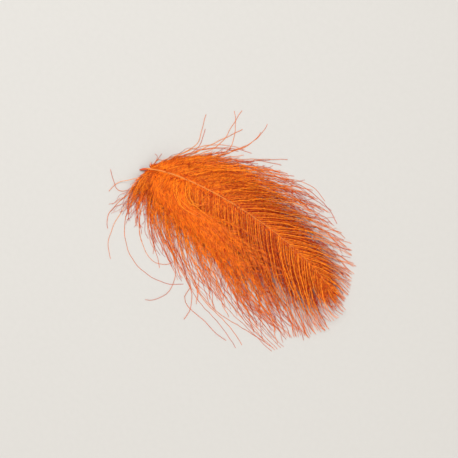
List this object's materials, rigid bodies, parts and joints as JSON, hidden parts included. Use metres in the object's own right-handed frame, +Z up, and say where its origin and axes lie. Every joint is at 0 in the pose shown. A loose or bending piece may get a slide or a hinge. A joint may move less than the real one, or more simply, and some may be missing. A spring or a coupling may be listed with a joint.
{
  "type": "cul de canard feather",
  "caption": "Loose orange cul de canard feather lying down: a bowed, tapering shaft with two soft vanes of fine separate barbs and stray wisps, used for tying fishing flies.",
  "frame": {"origin": "on the surface that the feather lies on, under the middle of its box", "axes": "+X from the quill to the tip, +Y towards the narrow left vane, +Z up from the surface"},
  "size_m": [0.0608, 0.049, 0.0049],
  "materials": {
    "shaft": "satin horn, dyed orange",
    "left_barbs": "soft down, dyed orange",
    "right_barbs": "soft down, dyed orange"
  },
  "bodies": {
    "root": {"shaft": "shaft", "left_vane": "left_barbs", "right_vane": "right_barbs"}
  },
  "joints": []
}
